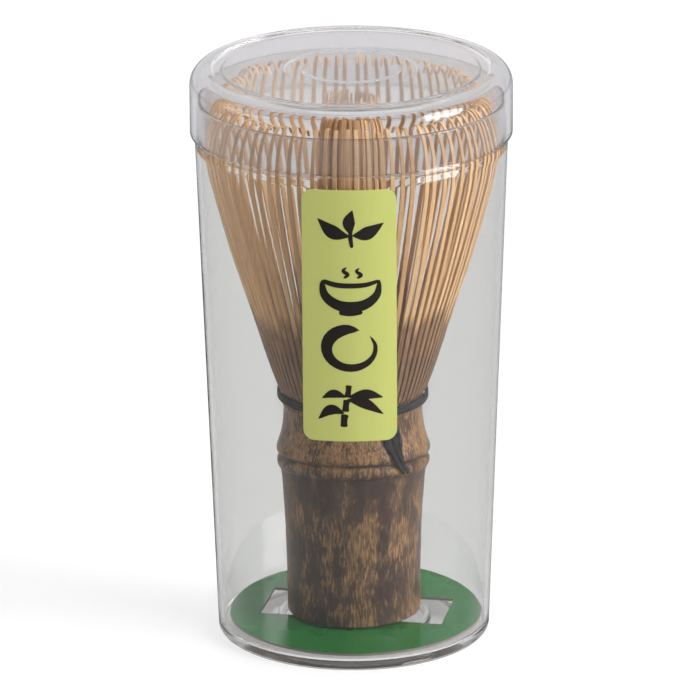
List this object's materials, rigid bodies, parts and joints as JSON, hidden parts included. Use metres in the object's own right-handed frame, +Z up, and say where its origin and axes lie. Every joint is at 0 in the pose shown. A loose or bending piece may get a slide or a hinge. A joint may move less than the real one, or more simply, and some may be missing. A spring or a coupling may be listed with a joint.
{
  "type": "bamboo tea whisk",
  "caption": "Split-bamboo tea whisk with flared outer tines, a core of inner tines and a bound neck, standing on a card in a clear tapered case with a press-on lid.",
  "frame": {"origin": "middle of the case's foot, on the surface it stands on", "axes": "+Z up the whisk's axis, -Y towards the label, +X to the right as seen from the label"},
  "size_m": [0.066, 0.066, 0.1214],
  "materials": {
    "clear_plastic": "clear polished",
    "label_paper": "semi-gloss sticker with ink drawings",
    "green_card": "gloss print, grey back",
    "smoked_bamboo": "dark mottled bamboo skin",
    "split_bamboo": "shaved bamboo, stained at the root",
    "black_thread": "twisted cotton thread"
  },
  "bodies": {
    "case": {"case_body": "clear_plastic", "case_label": "label_paper"},
    "card": {"base_card": "green_card"},
    "whisk": {"handle": "smoked_bamboo", "outer_tines_01": "split_bamboo", "outer_tines_02": "split_bamboo", "outer_tines_03": "split_bamboo", "outer_tines_04": "split_bamboo", "outer_tines_05": "split_bamboo", "outer_tines_06": "split_bamboo", "outer_tines_07": "split_bamboo", "outer_tines_08": "split_bamboo", "outer_tines_09": "split_bamboo", "outer_tines_10": "split_bamboo", "outer_tines_11": "split_bamboo", "outer_tines_12": "split_bamboo", "outer_tines_13": "split_bamboo", "outer_tines_14": "split_bamboo", "outer_tines_15": "split_bamboo", "outer_tines_16": "split_bamboo", "inner_tines_01": "split_bamboo", "inner_tines_02": "split_bamboo", "inner_tines_03": "split_bamboo", "inner_tines_04": "split_bamboo", "inner_tines_05": "split_bamboo", "inner_tines_06": "split_bamboo", "inner_tines_07": "split_bamboo", "inner_tines_08": "split_bamboo", "inner_tines_09": "split_bamboo", "inner_tines_10": "split_bamboo", "inner_tines_11": "split_bamboo", "inner_tines_12": "split_bamboo", "inner_tines_13": "split_bamboo", "inner_tines_14": "split_bamboo", "inner_tines_15": "split_bamboo", "inner_tines_16": "split_bamboo", "binding_thread": "black_thread", "weave_thread": "black_thread", "thread_knot": "black_thread", "thread_tail_left": "black_thread", "thread_tail_right": "black_thread"},
    "lid": {"case_lid": "clear_plastic"}
  },
  "joints": [
    {"name": "card_lift", "type": "slide", "parent": "case", "child": "card", "axis": [0, 0, 1], "range_m": [0, 0.12]},
    {"name": "whisk_lift", "type": "slide", "parent": "card", "child": "whisk", "axis": [0, 0, 1], "range_m": [0, 0.125]},
    {"name": "lid_lift", "type": "slide", "parent": "whisk", "child": "lid", "axis": [0, 0, 1], "range_m": [0, 0.06]}
  ]
}
